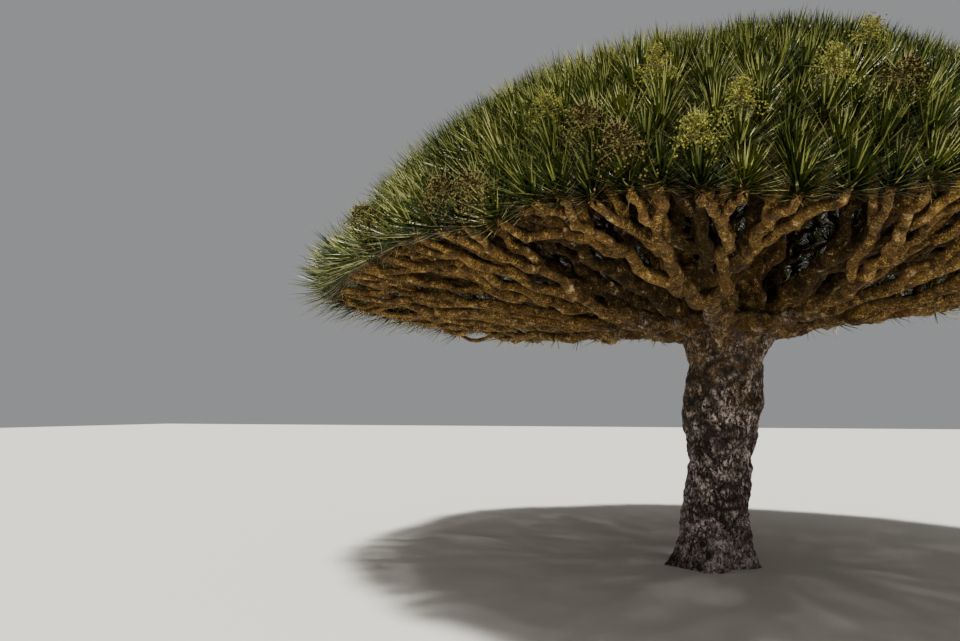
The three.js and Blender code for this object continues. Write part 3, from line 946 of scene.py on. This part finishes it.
def ranged(tree, value, low, high, to_low=0.0, to_high=1.0):
    return node(
        tree,
        "ShaderNodeMapRange",
        ("Value", value),
        ("From Min", low),
        ("From Max", high),
        ("To Min", to_low),
        ("To Max", to_high),
    ).outputs["Result"]


def grain_of(tree, place, grain):
    return node(
        tree,
        "ShaderNodeTexNoise",
        ("Vector", place),
        ("Scale", grain.scale),
        ("Detail", grain.detail),
        ("Roughness", grain.roughness),
        ("Distortion", grain.distortion),
    ).outputs["Fac"]


def worked(tree, operation, one, other):
    return node(tree, "ShaderNodeMath", (0, one), (1, other), operation=operation).outputs["Value"]


def weighted(tree, values, weights):
    total = 0.0
    for value, weight in zip(values, weights):
        total = worked(tree, "ADD", worked(tree, "MULTIPLY", value, weight), total)
    return total


# Bark: grains of noise in patches a metre, ranges that count from none to full, and colours
Grain = namedtuple("Grain", "scale detail roughness distortion")
PATCHES = Grain(5, 6, 0.6, 0)
FLAKES = Grain(14, 10, 0.76, 0.4)
PORES = Grain(45, 6, 0.7, 0)
SPECKLE = Grain(70, 4, 0.75, 0)
RIPPLES = Grain(15, 12, 0.88, 1.0)
CLOSED_CRACKS = Grain(7, 3, 0.6, 0)
SHADES = Grain(4.3, 3, 0.6, 0)
SPECKS = Grain(38, 3, 0.7, 0)
LICHEN = Grain(2.6, 4, 0.7, 0)
LIMB_PLATES = 34
TRUNK_PLATES = 17
PLATE_SWIRL = 0.16
PLATE_EDGES = (0.02, 0.2)
TRUNK_STRETCH = (1, 1, 0.55)  # the trunk's grains are longer upward

HOLLOW_SHADE_RANGE = (0.15, 0.85)
FLAKY_RANGE = (0.39, 0.62)
SPECKLE_RANGE = (0.4, 0.6)
PORE_RANGE = (0.35, 0.65)
RIPPLE_RANGE = (0.41, 0.59)
LIMB_CLEFTS = (0, 1, 0.72, 1)
TRUNK_CLEFTS = (0, 1, 0.4, 1)
RUSTY_RANGE = (0.45, 0.62, 0, 0.75)
PALE_AND_HIGHLIGHT_RANGE = (0.58, 0.605, 0, 0.65)
CLOSED_RANGE = (0.42, 0.6)
SHADE_RANGE = (0.38, 0.62, 0.78, 1.2)
SPECK_RANGE = (0.40, 0.46, 0.35, 1)
LICHEN_RANGE = (0.5, 0.6, 0, 0.35)
MAUVE_FOOT_HEIGHTS = (0.1, 1.2, 0.42, 0)
SCAR_AND_FURROW_SHADE_FADING = (0.4, 0.58, 0.66, 1.12)
RAGGED_RANGE = (0.3, 0.7, -0.6, 0.6)
SCAR_AND_FURROW_SHADE_RANGE = (0.4, 0.82, 0, 0.88)
WAVY_RANGE = (0.2, 0.8, -0.5, 0.5)
OCHRE_HEIGHTS = (1.5, 2.7)  # where the trunk's grey gives way to the limbs' ochre

LIMB_WEIGHTS = (0.32, 0.36, 0.32)  # painted shade in hollows, flakes and speckle
TRUNK_WEIGHTS = (0.24, 0.56, 0.2)  # painted shade in hollows, ripples and pores
PALE_WEIGHTS = (0.7, 0.3)  # flakes and patches
BUMP_WEIGHTS = (0.25, 1, 0.5)  # clefts, flakes and pores
TRUNK_BUMP_WEIGHTS = (0.4, 1.2)  # clefts and ripples
BUMP_STRENGTH = 0.9
BUMP_HEIGHT = 0.014

OCHRE = (
    (0.0, (0.006, 0.003, 0.001)),
    (0.3, (0.034, 0.016, 0.005)),
    (0.48, (0.088, 0.048, 0.011)),
    (0.64, (0.33, 0.200, 0.040)),
    (0.86, (0.86, 0.60, 0.20)),
)
GREY = (
    (0.0, (0.006, 0.003, 0.001)),
    (0.28, (0.028, 0.017, 0.011)),
    (0.42, (0.135, 0.094, 0.070)),
    (0.56, (0.35, 0.272, 0.232)),
    (0.72, (0.84, 0.73, 0.68)),
)
RUST = (0.31, 0.172, 0.040)
PALE_FLAKE_AND_HIGHLIGHT = (0.66, 0.52, 0.32)
MAUVE = (0.34, 0.29, 0.31)
SCAR_AND_FURROW_SHADE_BROWN = (0.018, 0.011, 0.008)


def cracks_of(tree, place, scale):
    """0 in the cracks between plates of a crooked outline, 1 on the plates."""
    swirl = node(
        tree, "ShaderNodeTexNoise", ("Vector", place), ("Scale", scale / 2), ("Detail", 3)
    ).outputs["Color"]
    swirl = node(
        tree, "ShaderNodeVectorMath", (0, swirl), ("Scale", PLATE_SWIRL), operation="SCALE"
    ).outputs["Vector"]
    crooked = node(
        tree, "ShaderNodeVectorMath", (0, place), (1, swirl), operation="ADD"
    ).outputs["Vector"]
    cells = node(
        tree,
        "ShaderNodeTexVoronoi",
        ("Vector", crooked),
        ("Scale", scale),
        feature="DISTANCE_TO_EDGE",
    )
    return ranged(tree, cells.outputs["Distance"], *PLATE_EDGES)


def shaded(colour, painted_shade):
    return [painted_shade * c for c in colour]


# the shade factor scales the bark's colours, making lit and shaded copies of one bark as painted
# light and shade
def bark_material(name, painted_shade, has_trunk=False):
    """Scaly bark: plates parted by dark cracks, with painted shade in the hollows of its relief
    and lighter knobs.
    """
    material, tree, shader = new_material(name, 0.85, 0.25)
    place = node(tree, "ShaderNodeTexCoord").outputs["Object"]
    relief = node(tree, "ShaderNodeAttribute", attribute_name=RELIEF).outputs["Fac"]
    patches = grain_of(tree, place, PATCHES)
    flaky = grain_of(tree, place, FLAKES)
    pores = grain_of(tree, place, PORES)
    cleft = cracks_of(tree, place, LIMB_PLATES)
    # painted shade in the hollows of the bark's relief, lighter on its knobs
    hollow_shade = ranged(tree, relief, *HOLLOW_SHADE_RANGE)
    speckle = ranged(tree, grain_of(tree, place, SPECKLE), *SPECKLE_RANGE)
    flaked = ranged(tree, flaky, *FLAKY_RANGE)
    level = weighted(tree, (hollow_shade, flaked, speckle), LIMB_WEIGHTS)
    level = worked(tree, "MULTIPLY", level, ranged(tree, cleft, *LIMB_CLEFTS))
    colour = colour_ramp(tree, level, [(at, shaded(stop, painted_shade)) for at, stop in OCHRE])
    rusty = worked(tree, "MULTIPLY", ranged(tree, patches, *RUSTY_RANGE), level)
    colour = mixed(tree, rusty, colour, shaded(RUST, painted_shade))
    # pale bark flakes, which also stand as painted highlights on the limbs
    pale_and_highlight = weighted(tree, (flaky, patches), PALE_WEIGHTS)
    colour = mixed(tree, ranged(tree, pale_and_highlight, *PALE_AND_HIGHLIGHT_RANGE), colour, PALE_FLAKE_AND_HIGHLIGHT)
    height = weighted(tree, (cleft, flaky, pores), BUMP_WEIGHTS)
    if has_trunk:
        colour, trunk_height = trunk_bark_over(tree, place, hollow_shade, patches, pores, colour)
        height = worked(tree, "ADD", height, trunk_height)
    tree.links.new(colour, shader.inputs["Base Color"])
    bumps = node(
        tree,
        "ShaderNodeBump",
        ("Height", height),
        ("Strength", BUMP_STRENGTH),
        ("Distance", BUMP_HEIGHT),
    )
    tree.links.new(bumps.outputs["Normal"], shader.inputs["Normal"])
    return material


def trunk_bark_over(tree, place, hollow_shade, patches, pores, ochre):
    """The trunk's grey bark with its scars and the painted shade in its furrows, which gives way
    upward to the limbs' ochre.
    """
    above = node(tree, "ShaderNodeSeparateXYZ", ("Vector", place)).outputs["Z"]
    tall = node(
        tree, "ShaderNodeVectorMath", (0, place), (1, TRUNK_STRETCH), operation="MULTIPLY"
    ).outputs["Vector"]
    ripples = grain_of(tree, tall, RIPPLES)
    soft = grain_of(tree, place, CLOSED_CRACKS)
    crack = cracks_of(tree, tall, TRUNK_PLATES)
    crack = worked(tree, "MAXIMUM", crack, ranged(tree, soft, *CLOSED_RANGE))
    rippled = ranged(tree, ripples, *RIPPLE_RANGE)
    porous = ranged(tree, pores, *PORE_RANGE)
    level = weighted(tree, (hollow_shade, rippled, porous), TRUNK_WEIGHTS)
    for layer in (
        ranged(tree, crack, *TRUNK_CLEFTS),
        ranged(tree, grain_of(tree, place, SHADES), *SHADE_RANGE),
        ranged(tree, grain_of(tree, tall, SPECKS), *SPECK_RANGE),
    ):
        level = worked(tree, "MULTIPLY", level, layer)
    grey = colour_ramp(tree, level, GREY)
    lichen = ranged(tree, grain_of(tree, place, LICHEN), *LICHEN_RANGE)
    # mauve-grey patches, laid on more toward the foot of the trunk
    mauve_amount = worked(tree, "ADD", lichen, ranged(tree, above, *MAUVE_FOOT_HEIGHTS))
    grey = mixed(tree, worked(tree, "MULTIPLY", mauve_amount, level), grey, MAUVE)
    # dark burl scars, and painted shade in the furrows under the boughs
    scar = node(tree, "ShaderNodeAttribute", attribute_name=SCAR_AND_FURROW_SHADE).outputs["Fac"]
    faded = worked(tree, "MULTIPLY", scar, ranged(tree, soft, *SCAR_AND_FURROW_SHADE_FADING))
    ragged = worked(tree, "ADD", faded, ranged(tree, ripples, *RAGGED_RANGE))
    wavy = worked(tree, "ADD", above, ranged(tree, patches, *WAVY_RANGE))
    colour = mixed(tree, ranged(tree, wavy, *OCHRE_HEIGHTS), grey, ochre)
    colour = mixed(tree, ranged(tree, ragged, *SCAR_AND_FURROW_SHADE_RANGE), colour, SCAR_AND_FURROW_SHADE_BROWN)
    return colour, weighted(tree, (crack, ripples), TRUNK_BUMP_WEIGHTS)


# Tints of the leaves, each a share of them all, with a pale tip colour that is a painted highlight
Tint = namedtuple("Tint", "name share blade tip")
TINTS = (
    Tint("deep", 0.28, (0.014, 0.025, 0.002), (0.130, 0.155, 0.026)),
    Tint("green", 0.26, (0.027, 0.043, 0.003), (0.250, 0.275, 0.060)),
    Tint("fresh", 0.22, (0.050, 0.069, 0.005), (0.460, 0.470, 0.150)),
    Tint("yellow", 0.24, (0.092, 0.100, 0.009), (0.740, 0.700, 0.310)),
)
ROOT_SHADE = 0.45  # how dark a leaf's root is against its blade, as painted shade deep in the rosette
DRY = (0.30, 0.185, 0.07)
# the dry leaves' roots are darkened as painted shade too
DRY_SHADED_ROOT = (0.12, 0.055, 0.018)
DRY_TIP = (0.46, 0.36, 0.19)
BLOSSOM = (0.14, 0.145, 0.018)
OPEN_BLOSSOM = (0.41, 0.39, 0.055)
# the fruit's pale beads are its sunlit tan, a painted highlight among the dark ones
FRUIT = (0.034, 0.023, 0.008)
PALE_FRUIT = (0.21, 0.170, 0.050)
STALK = (0.24, 0.195, 0.075)
OWN_TINT = 0.45  # how far a rosette's tint strays from its spray's
SPRAY_STEP, ROSETTE_STEP, PANICLE_STEP = 91, 92, 93  # of chance, for tints and panicles


def tint_of(rosette):
    at = mix(chance(rosette.spray, SPRAY_STEP), chance(rosette.seed, ROSETTE_STEP), OWN_TINT)
    for tint in TINTS:
        if at < tint.share:
            return tint
        at -= tint.share
    return TINTS[-1]


def dress(piece, body_slot, nodes, *materials, slots=None):
    for material in materials:
        piece.data.materials.append(material)
    if slots is not None:
        piece.data.polygons.foreach_set("material_index", slots)
    piece.data.update()
    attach(piece, "root")
    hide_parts(*nodes)


# Trunk, boughs, limbs and twigs
# one bark at painted light and shade: the rim's twigs brightest, its limbs and the trunk's ochre
# darker, the inner tiers' limbs darkest as painted shade deep in the crown
rim_barks = bark_material("limb_bark", 0.74), bark_material("twig_bark", 1.0)
shaded_inner_bark = bark_material("shaded_inner_bark", 0.4)
trunk_bark = bark_material("trunk_bark", 0.74, has_trunk=True)

every_bough = [limb for growth in growths for limb in growth.boughs]
boughs = limb_bodies("boughs", every_bough, rings=12, bevel=6)
wood = skin_over("trunk_and_boughs", [trunk_body(), boughs], WOOD_VOXEL)
bark_relief(wood, lumps=0.05, knobs=0.035, scales=0.014, crags=0.06)
cut_flat(wood)
mark_scars_and_furrow_shade(wood)
wood_nodes = ["trunk"] + [name for growth in growths for name in growth.wood]
dress(wood, "trunk_bark", wood_nodes, trunk_bark)

for growth in growths:
    limb_bark, twig_bark = rim_barks if growth.name == "rim" else (shaded_inner_bark, shaded_inner_bark)
    bodies = limb_bodies("limbs", growth.limbs, rings=10, bevel=4)
    limbs = skin_over(f"limbs_{growth.name}", [bodies], LIMB_VOXEL)
    bark_relief(limbs, lumps=0.03, knobs=0.035, scales=0.012)
    dress(limbs, "limb_bark", growth.masses, limb_bark)
    twigs = tubes(f"twigs_{growth.name}", growth.twigs, rings=7, sides=9)
    bark_relief(twigs, lumps=0.02, knobs=0.03, scales=0.008)
    dress(twigs, "limb_bark", growth.masses, twig_bark)

# Leaves
TIER_SEEDS = 10  # from each tier's seed to the next
DRY_SEEDS = 50

leaf_finish = {}
for tint in TINTS:
    leaf_finish[tint.name] = (
        # the root, darkened as painted shade
        plain_material(f"root_{tint.name}", shaded(tint.blade, ROOT_SHADE), 0.7, 0.05),
        plain_material(f"leaf_{tint.name}", tint.blade, 0.5, 0.15),
        # the tip, paled as a painted highlight
        plain_material(f"tip_{tint.name}", tint.tip, 0.36, 0.5),
    )
dry_finish = (
    # the root, darkened as painted shade
    plain_material("dry_shaded_root", DRY_SHADED_ROOT, 0.8, 0.2),
    plain_material("dry_leaf", DRY, 0.7, 0.3),
    plain_material("dry_tip", DRY_TIP, 0.7, 0.3),
)
for number, growth in enumerate(growths):
    for k, tint in enumerate(TINTS):
        chosen = [r for r in growth.rosettes if tint_of(r) is tint]
        name = f"leaves_{growth.name}_{tint.name}"
        piece, slots = blades(name, chosen, GREEN_BLADES, TIER_SEEDS * number + k)
        dress(piece, "foliage", growth.masses, *leaf_finish[tint.name], slots=slots)
    name = f"dry_leaves_{growth.name}"
    piece, slots = blades(name, growth.rosettes, DRY_BLADES, DRY_SEEDS + number)
    dress(piece, "foliage", growth.masses, *dry_finish, slots=slots)

# Blossom and fruit
stalk = plain_material("stalk", STALK, 0.8, 0.2)
blossom = (
    plain_material("blossom", BLOSSOM, 0.7, 0.2),
    plain_material("open_blossom", OPEN_BLOSSOM, 0.7, 0.2),
    stalk,
)
fruit = (
    plain_material("fruit", FRUIT, 0.8, 0.05),
    plain_material("pale_fruit", PALE_FRUIT, 0.8, 0.1),
    stalk,
)
all_rosettes = [rosette for growth in growths for rosette in growth.rosettes]
for k, (name, finish, panicle, places) in enumerate(
    (("blossom", blossom, BLOSSOMS, BLOSSOM_AT), ("fruit", fruit, FRUITS, FRUIT_AT))
):
    chosen = [min(all_rosettes, key=lambda r: math.dist(r.end.xy, place)) for place in places]
    for rosette in all_rosettes:
        dealt = chance(rosette.seed, PANICLE_STEP + k) < UNSEEN_SHARE
        if dealt and rosette.end.y > UNSEEN_FROM:
            chosen.append(rosette)
    piece, slots = panicles(name, chosen, panicle, k)
    dress(piece, "foliage", every_mass, *finish, slots=slots)

# Camera, floor and light
EYE = Vector((0, -8.017, 1.6))
PITCH = 7.286  # degrees up from level
YAW = 17.527  # degrees to the left of +Y
FOCAL = 26.25
SENSOR = 36
SIGHT = 500
FLOOR_SIZE = 120
FLOOR = (0.64, 0.61, 0.54)
SKY = (0.92, 0.93, 0.95, 1)
SKY_STRENGTH = 0.32

camera = bpy.data.objects.new("camera", bpy.data.cameras.new("camera"))
camera.data.lens = FOCAL
camera.data.sensor_width = SENSOR
camera.data.clip_end = SIGHT
camera.location = EYE
camera.rotation_euler = (math.radians(90 + PITCH), 0, math.radians(YAW))
bpy.context.scene.collection.objects.link(camera)
bpy.context.scene.camera = camera

select_only(wood)
bpy.ops.mesh.primitive_plane_add(size=FLOOR_SIZE)
floor = bpy.context.object
floor.name = "floor"
floor.data.materials.append(plain_material("floor", FLOOR, 0.9, 0.1))

world = bpy.data.worlds.new("studio")
bpy.context.scene.world = world
world.use_nodes = True
sky = world.node_tree.nodes["Background"]
sky.inputs["Color"].default_value = SKY
sky.inputs["Strength"].default_value = SKY_STRENGTH


def sun(name, heading, strength, angle):
    light = bpy.data.lights.new(name, "SUN")
    light.energy = strength
    light.angle = math.radians(angle)
    lamp = bpy.data.objects.new(name, light)
    lamp.rotation_euler = Vector(heading).to_track_quat("-Z", "Y").to_euler()
    bpy.context.scene.collection.objects.link(lamp)


sun("key", (0.14, 0.1, -1.1), strength=7.0, angle=6)
sun("fill", (-0.6, 0.9, 0.1), strength=0.75, angle=40)
